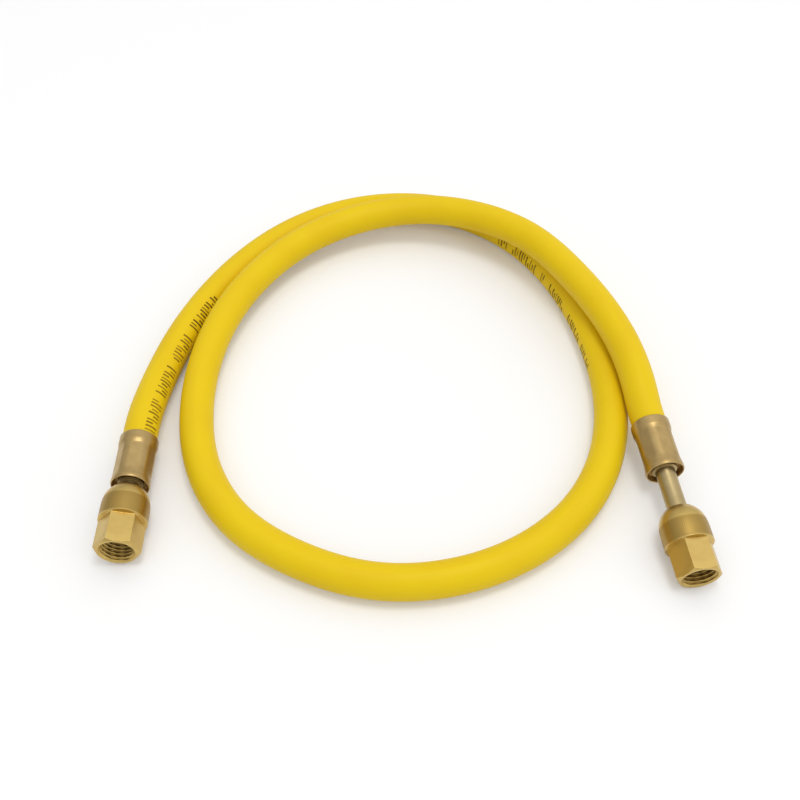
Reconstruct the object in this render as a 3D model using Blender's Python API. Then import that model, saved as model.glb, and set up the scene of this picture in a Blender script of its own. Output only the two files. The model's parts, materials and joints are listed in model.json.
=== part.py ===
"""Refrigerant charging hose: a smooth rubber hose laid in a loose coil, with a crimped brass
ferrule, a barbed stem and a swivel nut at each end. Units are metres and +Z is up. The origin
is on the ground, midway between the two end fittings."""

import math

import bmesh
import bpy
import numpy as np
from mathutils import Euler, Vector

# Clearance kept between pieces that touch on the real hose
GAP = 0.0003

# Hose
HOSE_OD = 0.0115
HOSE_BORE = 0.0052
HOSE_SIDES = 12
BORE_SIDES = 8
HOSE_POINT_SPACING = 0.0135
LEAD_LENGTH = 0.006
MOUTH_SQUEEZE = 0.00025
CRIMP_DEPTH = 0.0008

# Ferrule, a pressed shell with a web at its rear
FERRULE_LENGTH = 0.019
FERRULE_WALL = 0.0006
BELL_LENGTH = 0.0036
CRIMP_TAPER = 0.0013
CRIMP_CORNER_RISE = 0.0003
RIM_OD = 0.0126
RIM_TAPER = 0.0026
RIM_LENGTH = 0.0018
RECESS_DEPTH = 0.0025
WEB_THICKNESS = 0.001
FERRULE_SIDES = 36

# Stem, turned from bar
STEM_BORE = 0.003
TAIL_ROOT_OD = 0.004
TAIL_START = 0.0025
BARB_COUNT = 3
BARB_PITCH = 0.0035
LAND_OD = 0.0066
LAND_LENGTH = 0.0012
GROOVE_OD = 0.0056
COLLAR_OD = 0.0082
COLLAR_LENGTH = 0.0014
SHANK_OD = 0.00635
HEAD_LENGTH = 0.004
SOCKET_OD = 0.0042
SOCKET_DEPTH = 0.0016
STEM_SIDES = 24

# Swivel nut
NUT_LENGTH = 0.0234
NUT_OD = 0.0154
NUT_BACK_OD = 0.0088
NUT_SHOULDER = 0.01
KNURL_END = 0.0127
HEX_ACROSS_FLATS = 0.0127
NUT_FACE_OD = 0.0125
NUT_FRONT_CHAMFER = 0.001
NUT_BACK_WALL = 0.0042
THREAD_MINOR_OD = 0.0099
MOUTH_OD = 0.0112
MOUTH_CHAMFER = 0.0007
NUT_SIDES = 48

# Gasket and core depressor
SEAT_CLEARANCE = 0.00035
GASKET_THICKNESS = 0.0028
DEPRESSOR_FOOT = 0.0011
DEPRESSOR_PIN_OD = 0.0016
DEPRESSOR_REACH = 0.0024
FLOW_SLOT_WIDTH = 0.0007
FLOW_SLOT_COUNT = 3

# Length of plain shank left bare between each ferrule and its nut
LEFT_SHANK = 0.0012
RIGHT_SHANK = 0.014

# Where the hose enters each ferrule, and which way the fitting points: a heading from -Y
# towards +X, and a dip of the nose towards the ground
LEFT_MOUTH = (-0.0885, 0.0243)
LEFT_HEADING = math.radians(0.5)
LEFT_DIP = math.radians(0.0)
RIGHT_MOUTH = (0.0817, 0.0279)
RIGHT_HEADING = math.radians(7.2)
RIGHT_DIP = math.radians(5.0)

# Turn of each piece about its own axis, from a flat facing straight up
LEFT_CRIMP_TURN = math.radians(-12.0)
LEFT_NUT_TURN = math.radians(-14.0)
RIGHT_CRIMP_TURN = math.radians(-11.0)
RIGHT_NUT_TURN = math.radians(-3.0)

# Route of the hose from the left ferrule to the right one, as X, Y and the lift of its
# underside off the ground, in hose diameters
ROUTE = [
    (-0.0870, 0.0500, 0.06),
    (-0.0820, 0.0735, 0.01),
    (-0.0735, 0.0960, 0.00),
    (-0.0615, 0.1165, 0.00),
    (-0.0455, 0.1340, 0.00),
    (-0.0245, 0.1465, 0.00),
    (-0.0005, 0.1510, 0.00),
    (0.0235, 0.1460, 0.00),
    (0.0425, 0.1325, 0.00),
    (0.0565, 0.1130, 0.00),
    (0.0655, 0.0905, 0.00),
    (0.0705, 0.0670, 0.00),
    (0.0715, 0.0420, 0.00),
    (0.0665, 0.0180, 0.00),
    (0.0545, -0.0030, 0.00),
    (0.0360, -0.0185, 0.00),
    (0.0140, -0.0270, 0.00),
    (-0.0100, -0.0280, 0.00),
    (-0.0330, -0.0205, 0.00),
    (-0.0530, -0.0065, 0.00),
    (-0.0660, 0.0140, 0.00),
    (-0.0715, 0.0385, 0.03),
    (-0.0710, 0.0625, 0.14),
    (-0.0650, 0.0860, 0.28),
    (-0.0540, 0.1070, 0.36),
    (-0.0390, 0.1240, 0.41),
    (-0.0185, 0.1355, 0.53),
    (0.0055, 0.1390, 0.70),
    (0.0285, 0.1325, 0.88),
    (0.0480, 0.1185, 0.99),
    (0.0615, 0.0985, 1.04),
    (0.0720, 0.0760, 1.02),
    (0.0785, 0.0535, 0.88),
    (0.0803, 0.0405, 0.69),
]

# Stations along each fitting, measured from the ferrule's mouth towards the nut
WEB_REAR = FERRULE_LENGTH - RECESS_DEPTH
WEB_FRONT = WEB_REAR - WEB_THICKNESS
LAND_START = WEB_FRONT - GAP - LAND_LENGTH
HOSE_END = LAND_START - GAP
COLLAR_START = WEB_REAR + GAP

# Radii of the hose under the ferrule, and of the ferrule round it
MOUTH_HOSE_RADIUS = HOSE_OD / 2 - MOUTH_SQUEEZE
CRIMPED_HOSE_RADIUS = HOSE_OD / 2 - CRIMP_DEPTH
BELL_INNER = MOUTH_HOSE_RADIUS + GAP
BELL_OUTER = BELL_INNER + FERRULE_WALL
CRIMP_INNER = CRIMPED_HOSE_RADIUS + GAP
CRIMP_OUTER = CRIMP_INNER + FERRULE_WALL

# Stations inside the nut, measured from its back face towards its mouth
HEAD_START = NUT_BACK_WALL + GAP
HEAD_END = HEAD_START + HEAD_LENGTH
GASKET_START = HEAD_END + GAP
GASKET_END = GASKET_START + GASKET_THICKNESS
HEAD_RADIUS = THREAD_MINOR_OD / 2 - SEAT_CLEARANCE
TAIL_CREST_RADIUS = HOSE_BORE / 2 - GAP


def clear_scene():
    for obj in list(bpy.data.objects):
        bpy.data.objects.remove(obj, do_unlink=True)


def make_material(name, colour, roughness, metallic):
    """A plain surface for one kind of stuff, from an sRGB hex colour."""
    srgb = [int(colour[i : i + 2], 16) / 255 for i in (1, 3, 5)]
    linear = [c / 12.92 if c <= 0.04045 else ((c + 0.055) / 1.055) ** 2.4 for c in srgb]
    material = bpy.data.materials.new(name)
    material.use_nodes = True
    shader = material.node_tree.nodes["Principled BSDF"]
    shader.inputs["Base Color"].default_value = (*linear, 1.0)
    shader.inputs["Roughness"].default_value = roughness
    shader.inputs["Metallic"].default_value = metallic
    return material


def add_object(name, data, parent=None, material=None):
    obj = bpy.data.objects.new(name, data)
    bpy.context.scene.collection.objects.link(obj)
    obj.parent = parent
    if material:
        data.materials.append(material)
    return obj


def add_mesh(name, shape, parent=None, material=None):
    """An object from a finished bmesh, with its round faces shaded smooth."""
    bmesh.ops.recalc_face_normals(shape, faces=shape.faces)
    mesh = bpy.data.meshes.new(name)
    shape.to_mesh(mesh)
    shape.free()
    mesh.shade_smooth()
    mesh.set_sharp_from_angle(angle=math.radians(25))
    return add_object(name, mesh, parent, material)


def as_cutter(obj):
    obj.hide_render = True
    obj.display_type = "WIRE"
    return obj


def cut(target, cutter):
    modifier = target.modifiers.new(cutter.name, "BOOLEAN")
    modifier.operation = "DIFFERENCE"
    modifier.solver = "EXACT"
    modifier.object = as_cutter(cutter)


def turned(profile, sides):
    """A solid of revolution about Z. Each profile point is a radius and a height. A profile
    that starts and ends on the axis is a solid, and any other is a closed ring."""
    shape = bmesh.new()
    points = [shape.verts.new((radius, 0, height)) for radius, height in profile]
    edges = [shape.edges.new(pair) for pair in zip(points, points[1:])]
    if profile[0][0] > 0:
        edges.append(shape.edges.new((points[-1], points[0])))
    bmesh.ops.spin(
        shape,
        geom=points + edges,
        cent=(0, 0, 0),
        axis=(0, 0, 1),
        angle=2 * math.pi,
        steps=sides,
        use_merge=True,
    )
    bmesh.ops.remove_doubles(shape, verts=shape.verts, dist=1e-6)
    return shape


def section_radius(angle, flat_radius, corner_radius):
    """Radius of a hexagon with a flat facing +Y, its corners rounded off at corner_radius."""
    sector = math.radians(60)
    from_flat = (angle - math.radians(90) + sector / 2) % sector - sector / 2
    return min(flat_radius / math.cos(from_flat), corner_radius)


def lofted(sections, sides):
    """A closed ring skinned over sections that run down its outer side and back up inside.
    Each section is a height, a radius to the flats and a radius to the corners."""
    shape = bmesh.new()
    rings = []
    for height, flat_radius, corner_radius in sections:
        ring = []
        for step in range(sides):
            angle = 2 * math.pi * step / sides
            radius = section_radius(angle, flat_radius, corner_radius)
            place = (radius * math.cos(angle), radius * math.sin(angle), height)
            ring.append(shape.verts.new(place))
        rings.append(ring)
    for ring, following in zip(rings, rings[1:] + rings[:1]):
        for step in range(sides):
            beside = (step + 1) % sides
            corners = (ring[step], ring[beside], following[beside], following[step])
            shape.faces.new(corners)
    return shape


def round_section(height, radius):
    return (height, radius, radius)


def crimped_section(height, flat_radius):
    return (height, flat_radius, flat_radius + CRIMP_CORNER_RISE)


# Ferrule: bell mouth, hexagonal crimp, flared rim and the web that locks on the stem


def ferrule_shape():
    crimp_start = BELL_LENGTH + CRIMP_TAPER
    crimp_end = FERRULE_LENGTH - RIM_LENGTH - RIM_TAPER
    lip = FERRULE_WALL * 0.4
    rim_outer = RIM_OD / 2
    rim_inner = rim_outer - FERRULE_WALL
    web_hole = GROOVE_OD / 2 + GAP
    outside = [
        round_section(0, BELL_OUTER - lip),
        round_section(lip, BELL_OUTER),
        round_section(BELL_LENGTH, BELL_OUTER),
        crimped_section(crimp_start, CRIMP_OUTER),
        crimped_section(crimp_end, CRIMP_OUTER),
        round_section(FERRULE_LENGTH - RIM_LENGTH, rim_outer),
        round_section(FERRULE_LENGTH - lip, rim_outer),
        round_section(FERRULE_LENGTH, rim_outer - lip),
    ]
    inside = [
        round_section(FERRULE_LENGTH, rim_inner + lip / 2),
        round_section(FERRULE_LENGTH - lip, rim_inner),
        round_section(WEB_REAR, rim_inner),
        round_section(WEB_REAR, web_hole),
        round_section(WEB_FRONT, web_hole),
        round_section(WEB_FRONT, CRIMP_INNER),
        crimped_section(crimp_end, CRIMP_INNER),
        crimped_section(crimp_start, CRIMP_INNER),
        round_section(BELL_LENGTH, BELL_INNER),
        round_section(lip, BELL_INNER),
        round_section(0, BELL_INNER + lip / 2),
    ]
    return lofted(outside + inside, FERRULE_SIDES)


# Stem: barbed tail, lock groove, collar, plain shank and the head that carries the nut


def stem_profile(shank):
    """The stem for a given length of bare shank, in heights from the ferrule's mouth."""
    bore = STEM_BORE / 2
    root = TAIL_ROOT_OD / 2
    nut_back = FERRULE_LENGTH + shank
    head_back = nut_back + HEAD_START
    head_front = nut_back + HEAD_END
    socket = SOCKET_OD / 2
    edge = 0.0003
    points = [(bore, TAIL_START), (root - edge, TAIL_START)]
    for barb in range(BARB_COUNT):
        start = TAIL_START + edge + barb * BARB_PITCH
        points.append((root, start))
        points.append((TAIL_CREST_RADIUS, start + BARB_PITCH * 0.8))
        points.append((root, start + BARB_PITCH * 0.88))
    points += [
        (root, LAND_START),
        (LAND_OD / 2, LAND_START),
        (LAND_OD / 2, LAND_START + LAND_LENGTH),
        (GROOVE_OD / 2, LAND_START + LAND_LENGTH),
        (GROOVE_OD / 2, COLLAR_START),
        (COLLAR_OD / 2 - edge, COLLAR_START),
        (COLLAR_OD / 2, COLLAR_START + edge),
        (COLLAR_OD / 2, COLLAR_START + COLLAR_LENGTH - edge),
        (COLLAR_OD / 2 - edge, COLLAR_START + COLLAR_LENGTH),
        (SHANK_OD / 2, COLLAR_START + COLLAR_LENGTH),
        (SHANK_OD / 2, head_back),
        (HEAD_RADIUS - edge, head_back),
        (HEAD_RADIUS, head_back + edge),
        (HEAD_RADIUS, head_front - edge),
        (HEAD_RADIUS - edge, head_front),
        (socket, head_front),
        (socket, head_front - SOCKET_DEPTH),
        (bore, head_front - SOCKET_DEPTH),
    ]
    return points


# Swivel nut: shoulder, knurled grip, hexagon and a bore at the thread's minor diameter


def nut_profile():
    shank_hole = SHANK_OD / 2 + GAP
    thread = THREAD_MINOR_OD / 2
    outer = NUT_OD / 2
    back = NUT_BACK_OD / 2
    points = []
    for share in (0, 0.1, 0.25, 0.45, 0.7, 1):
        radius = outer - (outer - back) * (1 - share) ** 3
        points.append((radius, NUT_SHOULDER * share))
    points += [
        (outer, NUT_LENGTH - NUT_FRONT_CHAMFER),
        (NUT_FACE_OD / 2, NUT_LENGTH),
        (MOUTH_OD / 2, NUT_LENGTH),
        (thread, NUT_LENGTH - MOUTH_CHAMFER),
        (thread, NUT_BACK_WALL),
        (shank_hole, NUT_BACK_WALL),
        (shank_hole, 0),
    ]
    return points


def flats_cutter_shape():
    """The metal milled away round the hexagon: a thick ring with a hexagonal hole."""
    flat = HEX_ACROSS_FLATS / 2
    full_corner = flat / math.cos(math.radians(30))
    outside = NUT_OD
    beyond = NUT_LENGTH + 0.002
    sections = [
        round_section(KNURL_END, outside),
        round_section(beyond, outside),
        (beyond, flat, full_corner),
        (KNURL_END, flat, full_corner),
    ]
    return lofted(sections, 12)


def add_nut(name, parent, station, turn, material):
    nut = add_mesh(name, turned(nut_profile(), NUT_SIDES), parent, material)
    cutter = add_mesh(name + "_flats_cutter", flats_cutter_shape(), parent)
    for obj in (nut, cutter):
        obj.location = (0, 0, station)
        obj.rotation_euler = (0, 0, turn)
    cut(nut, cutter)
    return nut


# Gasket: a plain ring that a flare fitting is pressed against


def gasket_profile():
    hole = SOCKET_OD / 2
    edge = 0.0004
    return [
        (HEAD_RADIUS, 0),
        (HEAD_RADIUS, GASKET_THICKNESS - edge),
        (HEAD_RADIUS - edge, GASKET_THICKNESS),
        (hole + edge, GASKET_THICKNESS),
        (hole, GASKET_THICKNESS - edge),
        (hole, 0),
    ]


# Core depressor: a slotted foot in the stem's socket and a pin through the gasket


def depressor_profile():
    foot = SOCKET_OD / 2 - GAP
    pin = DEPRESSOR_PIN_OD / 2
    length = SOCKET_DEPTH + GASKET_THICKNESS + DEPRESSOR_REACH
    tip = pin * 0.4
    return [
        (0, length),
        (pin - tip, length),
        (pin, length - tip),
        (pin, DEPRESSOR_FOOT),
        (foot, DEPRESSOR_FOOT),
        (foot, 0),
        (0, 0),
    ]


def flow_slot_shape():
    """One slot through the rim of the foot, lying along +X."""
    foot = SOCKET_OD / 2
    pin = DEPRESSOR_PIN_OD / 2
    start = pin + GAP / 2
    shape = bmesh.new()
    bmesh.ops.create_cube(shape, size=1.0)
    bmesh.ops.scale(shape, verts=shape.verts, vec=(foot, FLOW_SLOT_WIDTH, 2 * DEPRESSOR_FOOT))
    bmesh.ops.translate(
        shape, verts=shape.verts, vec=(start + foot / 2, 0, DEPRESSOR_FOOT * 0.6)
    )
    return shape


def add_depressor(name, parent, station, material):
    depressor = add_mesh(name, turned(depressor_profile(), 18), parent, material)
    depressor.location = (0, 0, station)
    for slot in range(FLOW_SLOT_COUNT):
        cutter = add_mesh("%s_slot_cutter_%d" % (name, slot + 1), flow_slot_shape(), parent)
        cutter.location = (0, 0, station)
        cutter.rotation_euler = (0, 0, 2 * math.pi * slot / FLOW_SLOT_COUNT + 0.2)
        cut(depressor, cutter)
    return depressor


# Fittings: each stands on an empty at the ferrule's mouth, whose Z runs out through the nut


def hexagon_reach(turn):
    """How far down the hexagon reaches below the axis when the nut is turned by an angle."""
    reach = 0
    for degree in range(360):
        angle = math.radians(degree)
        radius = section_radius(angle, HEX_ACROSS_FLATS / 2, NUT_OD / 2)
        reach = max(reach, -radius * math.sin(angle + turn))
    return reach


def mouth_height(shank, dip, turn):
    """Height of the hose's centre at the mouth when the nut lies on the ground, on its
    knurled grip or on the front of its hexagon."""
    nut_back = FERRULE_LENGTH + shank
    nut_front = nut_back + NUT_LENGTH - NUT_FRONT_CHAMFER
    on_grip = NUT_OD / 2 * math.cos(dip) + (nut_back + KNURL_END) * math.sin(dip)
    on_hexagon = hexagon_reach(turn) * math.cos(dip) + nut_front * math.sin(dip)
    return max(on_grip, on_hexagon)


def add_end(name, mouth, heading, dip, shank, turn):
    end = add_object(name, None)
    end.location = (*mouth, mouth_height(shank, dip, turn))
    end.rotation_euler = (math.radians(90) + dip, 0, heading)
    return end


def end_axis(end):
    return Euler(end.rotation_euler).to_matrix() @ Vector((0, 0, 1))


def add_fitting(side, end, shank, crimp_turn, nut_turn, materials):
    nut_back = FERRULE_LENGTH + shank
    ferrule = add_mesh(side + "_ferrule", ferrule_shape(), end, materials["ferrule"])
    ferrule.rotation_euler = (0, 0, crimp_turn)
    profile = stem_profile(shank)
    add_mesh(side + "_stem", turned(profile, STEM_SIDES), end, materials["stem"])
    add_nut(side + "_nut", end, nut_back, nut_turn, materials["nut"])
    gasket = turned(gasket_profile(), STEM_SIDES)
    ring = add_mesh(side + "_gasket", gasket, end, materials["gasket"])
    ring.location = (0, 0, nut_back + GASKET_START)


# Hose: one smooth curve from mouth to mouth, carried on into both ferrules


def smooth_curve(knots, start_direction, end_direction):
    """Points along the cubic through the knots whose slope and bend change without a step."""
    knots = np.array(knots)
    steps = np.linalg.norm(np.diff(knots, axis=0), axis=1)
    system = np.eye(len(knots))
    wanted = np.zeros((len(knots), 3))
    wanted[0] = start_direction
    wanted[-1] = end_direction
    for i in range(1, len(knots) - 1):
        before = steps[i - 1]
        after = steps[i]
        system[i, i - 1 : i + 2] = (after, 2 * (before + after), before)
        rise_before = (knots[i] - knots[i - 1]) / before
        rise_after = (knots[i + 1] - knots[i]) / after
        wanted[i] = 3 * (after * rise_before + before * rise_after)
    slopes = np.linalg.solve(system, wanted)
    points = []
    for i, step in enumerate(steps):
        for t in np.linspace(0, 1, 24, endpoint=False):
            points.append(
                (2 * t**3 - 3 * t**2 + 1) * knots[i]
                + (t**3 - 2 * t**2 + t) * step * slopes[i]
                + (3 * t**2 - 2 * t**3) * knots[i + 1]
                + (t**3 - t**2) * step * slopes[i + 1]
            )
    points.append(knots[-1])
    return np.array(points)


def evenly_spaced(points, spacing, margin):
    """Points read off a line at equal steps, leaving out a margin at each end."""
    lengths = np.linalg.norm(np.diff(points, axis=0), axis=1)
    along = np.concatenate([[0], np.cumsum(lengths)])
    count = round((along[-1] - 2 * margin) / spacing) + 1
    stations = np.linspace(margin, along[-1] - margin, count)
    return np.stack([np.interp(stations, along, points[:, i]) for i in range(3)], axis=1)


def hose_line(left, right):
    """The centreline of the hose and its outer radius at each point, from end to end."""
    taper = 0.002
    buried = [
        (HOSE_END, CRIMPED_HOSE_RADIUS),
        (BELL_LENGTH + CRIMP_TAPER, CRIMPED_HOSE_RADIUS),
        (BELL_LENGTH, MOUTH_HOSE_RADIUS),
        (0, MOUTH_HOSE_RADIUS),
    ]
    ends = []
    for end in (left, right):
        ends.append((Vector(end.location), end_axis(end)))
    (left_mouth, left_axis), (right_mouth, right_axis) = ends
    knots = [left_mouth, left_mouth - left_axis * LEAD_LENGTH]
    for x, y, lift in ROUTE:
        knots.append(Vector((x, y, HOSE_OD * (0.5 + lift))))
    knots += [right_mouth - right_axis * LEAD_LENGTH, right_mouth]
    free = evenly_spaced(
        smooth_curve(knots, -left_axis, right_axis), HOSE_POINT_SPACING, taper
    )
    line = [(left_mouth + left_axis * depth, radius) for depth, radius in buried]
    line += [(Vector(point), HOSE_OD / 2) for point in free]
    line += [(right_mouth + right_axis * depth, radius) for depth, radius in buried[::-1]]
    return line


def tube_curve(name, line, sides):
    """A curve with a round bevel and filled caps, thinner where a point's radius is less."""
    full = max(radius for _, radius in line)
    curve = bpy.data.curves.new(name, "CURVE")
    curve.dimensions = "3D"
    curve.bevel_depth = full
    curve.bevel_resolution = (sides - 4) // 2
    curve.use_fill_caps = True
    spline = curve.splines.new("POLY")
    spline.points.add(len(line) - 1)
    for point, (place, radius) in zip(spline.points, line):
        point.co = (*place, 1.0)
        point.radius = radius / full
    return as_cutter(add_object(name, curve))


def tube_mesh(name, guide, material=None):
    """The solid tube that a guide curve describes, as a mesh that can be cut."""
    bpy.context.view_layer.update()
    shape = bmesh.new()
    shape.from_mesh(bpy.data.meshes.new_from_object(guide))
    bmesh.ops.remove_doubles(shape, verts=shape.verts, dist=1e-6)
    return add_mesh(name, shape, None, material)


def add_hose(left, right, material):
    line = hose_line(left, right)
    outline = tube_curve("hose_outline", line, HOSE_SIDES)
    bore_radius = HOSE_BORE / 2 / math.cos(math.pi / BORE_SIDES)
    overrun = 0.001
    bore_line = [(place, bore_radius) for place, _ in line]
    first, last = bore_line[0][0], bore_line[-1][0]
    bore_line[0] = (first + end_axis(left) * overrun, bore_radius)
    bore_line[-1] = (last + end_axis(right) * overrun, bore_radius)
    bore = tube_curve("hose_bore", bore_line, BORE_SIDES)
    hose = tube_mesh("hose", outline, material)
    cut(hose, tube_mesh("hose_bore_cutter", bore))
    return hose


def main():
    clear_scene()
    materials = {
        "hose": make_material("yellow_hose_rubber", "#E6C41C", 0.38, 0.0),
        "ferrule": make_material("drawn_brass", "#A98F62", 0.34, 1.0),
        "stem": make_material("stem_brass", "#AD966A", 0.32, 1.0),
        "nut": make_material("turned_brass", "#B8A054", 0.28, 1.0),
        "gasket": make_material("black_gasket_rubber", "#2B2623", 0.6, 0.0),
        "depressor": make_material("depressor_brass", "#B89A50", 0.3, 1.0),
    }
    left = add_end(
        "left_end", LEFT_MOUTH, LEFT_HEADING, LEFT_DIP, LEFT_SHANK, LEFT_NUT_TURN
    )
    right = add_end(
        "right_end", RIGHT_MOUTH, RIGHT_HEADING, RIGHT_DIP, RIGHT_SHANK, RIGHT_NUT_TURN
    )
    add_hose(left, right, materials["hose"])
    add_fitting("left", left, LEFT_SHANK, LEFT_CRIMP_TURN, LEFT_NUT_TURN, materials)
    add_fitting("right", right, RIGHT_SHANK, RIGHT_CRIMP_TURN, RIGHT_NUT_TURN, materials)
    socket_floor = FERRULE_LENGTH + RIGHT_SHANK + HEAD_END - SOCKET_DEPTH + GAP
    add_depressor("right_depressor", right, socket_floor, materials["depressor"])


if __name__ == "__main__":
    main()
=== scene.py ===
"""Looks of a refrigerant charging hose: a satin rubber cover with its printed marks, drawn and
turned brass at both ends, the seals inside the nuts, and a plain studio. Units are metres."""

import json
import math

import bmesh
import bpy
import numpy as np
from bpy.props import FloatProperty, FloatVectorProperty, IntProperty, PointerProperty
from mathutils import Matrix, Vector


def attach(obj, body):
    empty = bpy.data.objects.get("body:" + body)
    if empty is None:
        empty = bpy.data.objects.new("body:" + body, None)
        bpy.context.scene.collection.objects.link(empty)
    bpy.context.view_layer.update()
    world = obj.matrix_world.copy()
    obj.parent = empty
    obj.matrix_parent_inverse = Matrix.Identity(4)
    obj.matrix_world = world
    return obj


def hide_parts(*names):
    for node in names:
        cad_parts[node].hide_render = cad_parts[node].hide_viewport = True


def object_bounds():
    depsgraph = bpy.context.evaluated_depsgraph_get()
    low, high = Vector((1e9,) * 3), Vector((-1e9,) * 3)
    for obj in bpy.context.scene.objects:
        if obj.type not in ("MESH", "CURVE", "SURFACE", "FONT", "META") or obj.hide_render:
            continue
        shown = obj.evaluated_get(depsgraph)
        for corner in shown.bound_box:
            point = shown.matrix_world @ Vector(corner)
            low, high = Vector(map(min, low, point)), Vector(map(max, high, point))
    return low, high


bl_info = {
    "name": "Charging Hose Looks",
    "version": (1, 0, 0),
    "blender": (4, 5, 0),
    "location": "3D View > Sidebar > Charging Hose",
    "description": "Dresses a refrigerant charging hose in rubber and brass",
    "category": "Object",
}

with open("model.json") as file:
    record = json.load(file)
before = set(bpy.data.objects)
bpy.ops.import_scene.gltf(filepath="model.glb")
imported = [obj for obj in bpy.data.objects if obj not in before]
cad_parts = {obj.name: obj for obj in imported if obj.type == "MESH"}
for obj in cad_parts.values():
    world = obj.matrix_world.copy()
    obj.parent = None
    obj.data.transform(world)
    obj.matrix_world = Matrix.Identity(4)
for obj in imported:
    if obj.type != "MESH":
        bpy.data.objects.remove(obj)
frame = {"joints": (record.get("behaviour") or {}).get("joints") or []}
cad_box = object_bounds()

MM = 0.001

# How finely the pieces are cut, and how far their edges are eased
TURNED_SIDES = 64
EASE_STEPS = 3
EASE_SHARE = 0.4
EDGE_EASE = 0.12 * MM

# Hose, as in the part
HOSE_RADIUS = 5.75 * MM
HOSE_BORE_RADIUS = 2.6 * MM
MOUTH_RADIUS = 5.5 * MM
CRIMPED_RADIUS = 4.95 * MM
HOSE_END_DEPTH = 13.7 * MM
LEAD_LENGTH = 6 * MM
MOUTH_TAPER = 2 * MM
RING_SPACING = 3 * MM
STEPS_PER_KNOT = 24

# Ferrule, as in the part
FERRULE_LENGTH = 19 * MM
FERRULE_WALL = 0.6 * MM
BELL_LENGTH = 3.6 * MM
CRIMP_TAPER = 1.3 * MM
BELL_RADIUS = 6.4 * MM
CRIMP_RADIUS = 5.85 * MM
CRIMP_CORNER_RISE = 0.3 * MM
RIM_RADIUS = 6.3 * MM
RIM_TAPER = 2.6 * MM
RIM_LENGTH = 1.8 * MM
RECESS_DEPTH = 2.5 * MM
WEB_THICKNESS = 1.0 * MM
WEB_HOLE_RADIUS = 3.1 * MM
BELL_LIP = 0.24 * MM
CRIMP_CORNER_EASE = 0.06 * MM
FERRULE_EDGE_EASE = 0.25 * MM
FERRULE_SIDES = 144

# Stem, as in the part
STEM_BORE_RADIUS = 1.5 * MM
TAIL_ROOT_RADIUS = 2.0 * MM
TAIL_CREST_RADIUS = 2.3 * MM
TAIL_START = 2.5 * MM
BARB_COUNT = 3
BARB_PITCH = 3.5 * MM
LAND_RADIUS = 3.3 * MM
LAND_START = 14 * MM
LAND_LENGTH = 1.2 * MM
GROOVE_RADIUS = 2.8 * MM
COLLAR_RADIUS = 4.1 * MM
COLLAR_START = 16.8 * MM
COLLAR_LENGTH = 1.4 * MM
SHANK_RADIUS = 3.175 * MM
HEAD_RADIUS = 4.6 * MM
HEAD_START = 4.5 * MM
HEAD_END = 8.5 * MM
SOCKET_RADIUS = 2.1 * MM
SOCKET_DEPTH = 1.6 * MM

# A flat of the crimp and of the nut faces up before its piece is turned
HEX_SECTOR = math.radians(60)
FIRST_FLAT = math.radians(90)

# Nut, as in the part, with its knurl and thread
NUT_LENGTH = 23.4 * MM
NUT_RADIUS = 7.7 * MM
NUT_BACK_RADIUS = 4.4 * MM
NUT_SHOULDER = 10 * MM
NUT_BACK_WALL = 4.2 * MM
NUT_HOLE_RADIUS = 3.475 * MM
KNURL_START = 5.2 * MM
KNURL_END = 12.7 * MM
HEX_FLAT_RADIUS = 6.35 * MM
FACE_RADIUS = 6.25 * MM
FRONT_CHAMFER = 1.0 * MM
MOUTH_HOLE_RADIUS = 5.6 * MM
THREAD_MINOR_RADIUS = 4.95 * MM
THREAD_MAJOR_RADIUS = 5.56 * MM
SHOULDER_FULLNESS = 3.6
NUT_HOLE_CHAMFER = 0.15 * MM
KNURL_STEPS = 5
KNURL_LEAN = math.radians(30)
KNURL_GROOVE_SHARPNESS = 3
THREAD_FLANK = 1.45
THREAD_ROOT_FLAT = 0.2
THREAD_ROWS_PER_TURN = 12

# How far painted shade darkens the knurl and the thread, from 0 to 1, in place of the shade in
# their grooves, and what is left of the brass's red, green and blue under the full of it, or
# under the full of the tarnish patches
KNURL_PAINTED_SHADE = 0.8
THREAD_PAINTED_SHADE = 0.48
TARNISH_AND_SHADE_TINT = (0.6, 0.53, 0.42)

# Gasket and core depressor, as in the part
GASKET_START = 8.8 * MM
GASKET_THICKNESS = 2.8 * MM
DEPRESSOR_START = 7.2 * MM
DEPRESSOR_LENGTH = 6.8 * MM
DEPRESSOR_FOOT = 1.1 * MM
DEPRESSOR_FOOT_RADIUS = 1.8 * MM
DEPRESSOR_PIN_RADIUS = 0.8 * MM
FLOW_SLOT_COUNT = 3
FLOW_SLOT_TURN = 0.2
FLOW_SLOT_INNER_RADIUS = 0.95 * MM
FLOW_SLOT_HALF_ANGLE = math.radians(14)
GASKET_EDGE = 0.4 * MM
DEPRESSOR_CENTRE = 0.02 * MM
DEPRESSOR_EDGE_EASE = 0.06 * MM
DEPRESSOR_SIDES = 90

# Each end: its joint, its bare shank, and how far its ferrule and nut are turned
ENDS = {
    "left": ("left_nut_spin", 1.2 * MM, math.radians(-12), math.radians(-14)),
    "right": ("right_nut_spin", 14 * MM, math.radians(-11), math.radians(-3)),
}

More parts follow.
